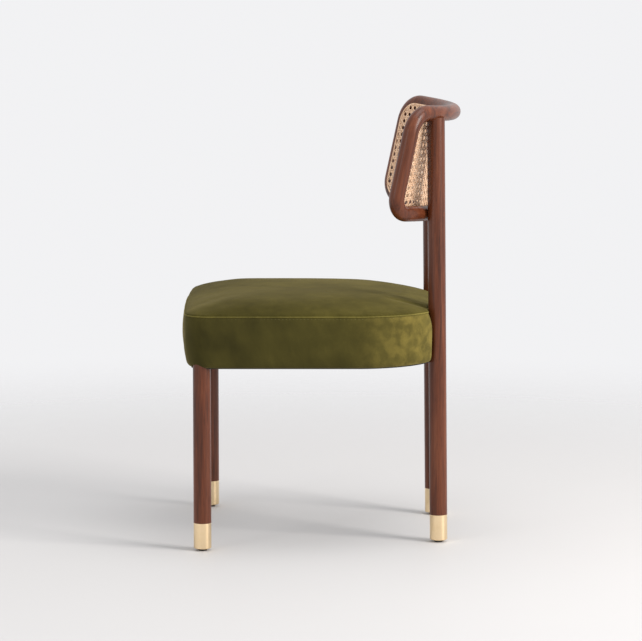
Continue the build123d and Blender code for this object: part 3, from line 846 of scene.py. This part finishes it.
def velvet(name, painted_lightness=1.0, sheen=0.38, shine=0.12):
    """Olive velvet: dark pile, bright tips, brushed patches, puckers along the seam and painted light towards
    the rear. The lightness given scales every colour, to paint a darker or lighter copy.
    """
    g = Graph(name)
    brushed = g.noise(g.place((0.16, 0.16, 0.10)), 1.0, 2.0, 0.5, 0.6)
    stroke = g.noise(g.place((0.03, 0.03, 0.075), (0.4, 0.2, 0.3)), 1.0, 3.0, 0.55, 0.3)
    pile = g.noise(g.place((0.0011, 0.0011, 0.0011)), 1.0, 2.0, 0.6)
    axes = g.node("ShaderNodeSeparateXYZ", {}, {"Vector": g.place()})
    height = axes["Z"]
    # Painted light: the tone is painted a little lighter towards the rear, the side of the key light.
    tone = brushed * 0.6 + stroke * 0.4 + axes["Y"].between(-0.25, 0.22) * 0.14 - 0.05
    # Painted light: a mottled lighter patch on the rear of the side band, below the seam, where the key light
    # falls.
    rear = axes["Y"].between(0.03, 0.20) * (1 - height.between(seam_height - 3 * mm, seam_height))
    mottle = g.noise(g.place((0.022, 0.022, 0.022)), 1.0, 2.0, 0.5, 0.3).between(0.32, 0.68)
    shades = (pile_dark, pile_mid, pile_light, pile_painted_light)
    dark, mid, light, painted_light_color = [tuple(c * painted_lightness for c in shade) for shade in shades]
    color = g.ramp(tone, [(0.30, dark), (0.52, mid), (0.74, light)])
    color = g.mix(rear * (mottle * 0.6 + 0.25), color, painted_light_color)
    color = g.mix(pile.between(0.35, 0.7) * 0.35, color, dark)
    from_seam = (height - seam_height).math("ABSOLUTE")
    near_seam = 1 - from_seam.between(0.5 * mm, 13 * mm)
    pucker = g.noise(g.place((0.0045, 0.0045, 0.05)), 1.0, 1.0)
    relief = pile * 0.12 + pucker * near_seam * 1.4 + stroke * 0.5
    g.surface(
        base_color=color,
        roughness=pile * 0.1 + 0.82,
        normal=g.bump(relief, 0.55, 0.0012),
        sheen_weight=sheen,
        sheen_roughness=0.38,
        sheen_tint=(0.66, 0.54, 0.24, 1.0),
        specular_ior_level=shine,
    )
    return g.material


band_finish = velvet("olive_velvet_band")
# Painted shade: the top is a copy of the band's velvet painted 5 per cent darker, with less sheen and shine.
top_finish = velvet("olive_velvet_top_painted_shade", 0.95, 0.17, 0.04)
print("velvet colours from", pile_dark, "to", pile_painted_light)

# %% [markdown]
# The body is cut at the seam. The part above is the top of the cover, and the part below is the side band,
# whose bottom edge is turned under the frame. Each is given the thickness of the cloth and its backing, and
# then made smooth by one subdivision.

# %% Cut the cover into its two pieces
cloth_thickness = 1.6 * mm
turned_under = 26 * mm
bottom_reach = 5 * mm


def turned_under_faces(bm):
    """Faces of the flat bottom that lie further in than the edge that is turned under."""
    under = []
    for face in bm.faces:
        middle = face.calc_center_median()
        inner = max(
            abs(middle.x) / (half_width - turned_under),
            abs(middle.y - seat_middle_y) / (half_depth - turned_under),
        )
        corner = hypot(abs(middle.x) - corner_x, middle.y - corner_y)
        in_corner = abs(middle.x) > corner_x and middle.y > corner_y
        inside_corner = not in_corner or corner < rear_corner - turned_under
        if middle.z < band_low.z + bottom_reach and inner < 1 and inside_corner:
            under.append(face)
    return under


def cover_piece(name, keep_above, *nodes):
    """The part of the body above or below the seam, as a piece of cover."""
    bm = bmesh.new()
    bm.from_mesh(seat_body.data)
    bmesh.ops.bisect_plane(
        bm,
        geom=bm.verts[:] + bm.edges[:] + bm.faces[:],
        plane_co=(0, 0, seam_height),
        plane_no=(0, 0, 1),
        clear_inner=keep_above,
        clear_outer=not keep_above,
    )
    if not keep_above:
        bmesh.ops.delete(bm, geom=turned_under_faces(bm), context="FACES")
    bmesh.ops.solidify(bm, geom=bm.faces[:], thickness=cloth_thickness)
    piece = finished(bm, name, top_finish if keep_above else band_finish, *nodes, slot="velvet")
    smooth = piece.modifiers.new("Smooth cloth", "SUBSURF")
    smooth.levels = smooth.render_levels = 1


cover_piece("velvet_top", True, "velvet_top_panel", "seat_foam")
cover_piece("velvet_band", False, "velvet_side_band", "edge_padding")

# %% [markdown]
# ### The seam
#
# The two pieces of velvet meet in a narrow felled seam. A texture could draw it, but it stands out a little
# and catches the light, so it is made as a thin cord of folded velvet along the cut. Its line is read from
# the body's own edge, so it follows every dent.

# %% Seam line
seam_step = 3.2 * mm


def seam_loop():
    """Points of the band's upper edge, in order."""
    bm = bmesh.new()
    bm.from_mesh(seat_body.data)
    cut = bmesh.ops.bisect_plane(
        bm,
        geom=bm.verts[:] + bm.edges[:] + bm.faces[:],
        plane_co=(0, 0, seam_height),
        plane_no=(0, 0, 1),
        clear_outer=True,
    )["geom_cut"]
    edges = [e for e in cut if isinstance(e, bmesh.types.BMEdge)]
    vertex = min((v for e in edges for v in e.verts), key=lambda v: (v.co.y, v.co.x))
    points = []
    while edges:
        linked = [e for e in vertex.link_edges if e in edges]
        if not linked:
            break
        edges.remove(linked[0])
        vertex = linked[0].other_vert(vertex)
        points.append(vertex.co.copy())
    bm.free()
    return points


def even_points(points, step):
    """The same closed line with evenly spaced points."""
    closed = points + points[:1]
    total = sum((b - a).length for a, b in zip(closed, closed[1:]))
    count = round(total / step)
    spaced, run, target = [], 0.0, 0.0
    for here, there in zip(closed, closed[1:]):
        length = (there - here).length
        while length > 0 and run + length >= target and len(spaced) < count:
            spaced.append(here.lerp(there, (target - run) / length))
            target += total / count
        run += length
    return spaced


seam_points = even_points(seam_loop(), seam_step)
print("seam is", round(len(seam_points) * seam_step, 3), "m long")

# %% [markdown]
# A circle is placed at every point of the line, turned along it, and neighbours are bridged into a tube. The
# last circle is bridged to the first, so the cord has no ends.

# %% Cord of the seam
cord_radius = 1.15 * mm
cord_lift = 0.2 * mm


def ring_tube(bm, points, radius, sides=6):
    """Closed tube through points: circles joined by bridges."""
    loops = []
    for place, point in enumerate(points):
        ahead = points[(place + 1) % len(points)] - points[place - 1]
        turn = ahead.to_track_quat("Z", "Y").to_matrix().to_4x4()
        circle = bmesh.ops.create_circle(
            bm, segments=sides, radius=radius, matrix=Matrix.Translation(point) @ turn
        )["verts"]
        loops.append(list(dict.fromkeys(e for v in circle for e in v.link_edges)))
    for here, there in zip(loops, loops[1:] + loops[:1]):
        bmesh.ops.bridge_loops(bm, edges=here + there)


def outward(point):
    """Level direction from the seat's middle to a point."""
    away = point - Vector((0, seat_middle_y, point.z))
    return away.normalized()


bm = bmesh.new()
seam_line = [p + outward(p) * cord_lift + Vector((0, 0, cord_lift)) for p in seam_points]
ring_tube(bm, seam_line, cord_radius)
bmesh.ops.recalc_face_normals(bm, faces=bm.faces)
# Painted highlight: the cord's velvet is painted 2.2 times lighter than the band, for the light the seam
# catches.
finished(bm, "velvet_seam", velvet("seam_velvet_painted_highlight", 2.2), "velvet_welt", slot="velvet")

# %% [markdown]
# Just below the cord runs a row of small stitches. Each shows as a short bead of thread, so a stretched
# low sphere with a few dozen faces is enough. None are made behind the posts, where the band is pressed flat.

# %% Stitches
stitch_half = Vector((0.32, 0.32, 1.05)) * mm
stitch_drop = 3.4 * mm
stitch_out = 0.9 * mm
post_shadow = 18 * mm


def thread():
    """Twisted polyester sewing thread."""
    g = Graph("olive_thread")
    twist = g.noise(g.place((0.0008, 0.0008, 0.0004)), 1.0, 1.0)
    g.surface(
        base_color=g.mix(twist, (0.12, 0.11, 0.035), (0.26, 0.23, 0.09)),
        roughness=twist * 0.2 + 0.5,
        normal=g.bump(twist, 0.3, 0.0002),
    )
    return g.material


bm = bmesh.new()
for here, there in list(zip(seam_points, seam_points[1:] + seam_points[:1]))[::2]:
    behind_post = here.y > post_y(here.z) - post_shadow and abs(abs(here.x) - post_x) < post_radius
    if behind_post:
        continue
    middle = (here + there) / 2 + outward(here) * stitch_out - Vector((0, 0, stitch_drop))
    turn = (there - here).to_track_quat("Z", "Y").to_matrix().to_4x4()
    spot = Matrix.Translation(middle) @ turn @ Matrix.Diagonal((*stitch_half, 1))
    bmesh.ops.create_icosphere(bm, subdivisions=1, radius=1.0, matrix=spot)
finished(bm, "seam_stitches", thread(), slot="velvet")
bpy.data.objects.remove(seat_body)

# %% [markdown]
# ## The studio
#
# The chair stands on a pale floor that fades into a pale backdrop, in soft light from all round. A curved
# paper sweep could do this from one side. A disc whose edge fades out does it from every side. The plain
# view transform keeps the pale tones as they are set.

# %% Floor and backdrop
scene = bpy.context.scene
scene.view_settings.view_transform = "Standard"
scene.view_settings.look = "None"
floor_radius = 3.4
fade_start, fade_end = 0.6, 2.4


def floor_finish():
    """Pale matt floor that turns clear towards its edge."""
    g = Graph("pale_floor")
    away = g.node("ShaderNodeVectorMath", {"operation": "LENGTH"}, {0: g.place()})["Value"]
    cloud = g.noise(g.place((0.7, 0.7, 0.7)), 1.0, 2.0)
    g.surface(
        base_color=g.mix(cloud * 0.3, (0.565, 0.555, 0.55), (0.535, 0.53, 0.525)),
        roughness=0.62,
        alpha=1 - away.between(fade_start, fade_end),
        specular_ior_level=0.3,
    )
    return g.material


bm = bmesh.new()
bmesh.ops.create_circle(bm, cap_ends=True, segments=96, radius=floor_radius)
floor_mesh = bpy.data.meshes.new("floor")
bm.to_mesh(floor_mesh)
bm.free()
floor = bpy.data.objects.new("floor", floor_mesh)
floor_mesh.materials.append(floor_finish())
scene.collection.objects.link(floor)

world = bpy.data.worlds.new("pale_studio")
world.use_nodes = True
world.node_tree.nodes["Background"].inputs["Color"].default_value = (0.985, 0.985, 1.0, 1)
world.node_tree.nodes["Background"].inputs["Strength"].default_value = 0.90
scene.world = world
print("floor", 2 * floor_radius, "m across")

# %% [markdown]
# The large key light stands behind the chair's back, on the +Y side. It models the round bars and draws soft
# shadows forward, towards -Y. A narrow strip gives the brass its second stripe, and a light above opens up
# the seat. The camera is far away with a long lens, looking a little down, so the bars stay nearly parallel.

# %% Lights and camera
def area_light(name, place, target, size, watts, color=(1, 1, 1)):
    """Soft rectangular light that points at a target."""
    data = bpy.data.lights.new(name, "AREA")
    data.shape = "RECTANGLE"
    data.size, data.size_y = size
    data.energy = watts
    data.color = color
    light = bpy.data.objects.new(name, data)
    light.location = place
    light.rotation_euler = (Vector(target) - Vector(place)).to_track_quat("-Z", "Y").to_euler()
    scene.collection.objects.link(light)


chair_middle = Vector((0, 0, (cad_low.z + cad_high.z) / 2))
area_light("key", (1.6, 2.9, 1.9), chair_middle, (1.2, 2.2), 125, (1.0, 0.97, 0.94))
area_light("strip_front", (2.6, -2.4, 1.2), chair_middle, (0.5, 2.0), 12)
area_light("top", (0.3, 0.6, 3.0), chair_middle, (1.6, 1.6), 24)

camera_data = bpy.data.cameras.new("camera")
camera_data.lens = 177.5
camera_data.sensor_width = 36
camera_place = Vector((5.8, 0, 1.128))
camera_dip = 7.27
camera = bpy.data.objects.new("camera", camera_data)
camera.location = camera_place
camera.rotation_euler = (radians(90 - camera_dip), 0, radians(90))
scene.collection.objects.link(camera)
scene.camera = camera
print("camera at", [round(v, 3) for v in camera_place], "looking down", camera_dip, "degrees")
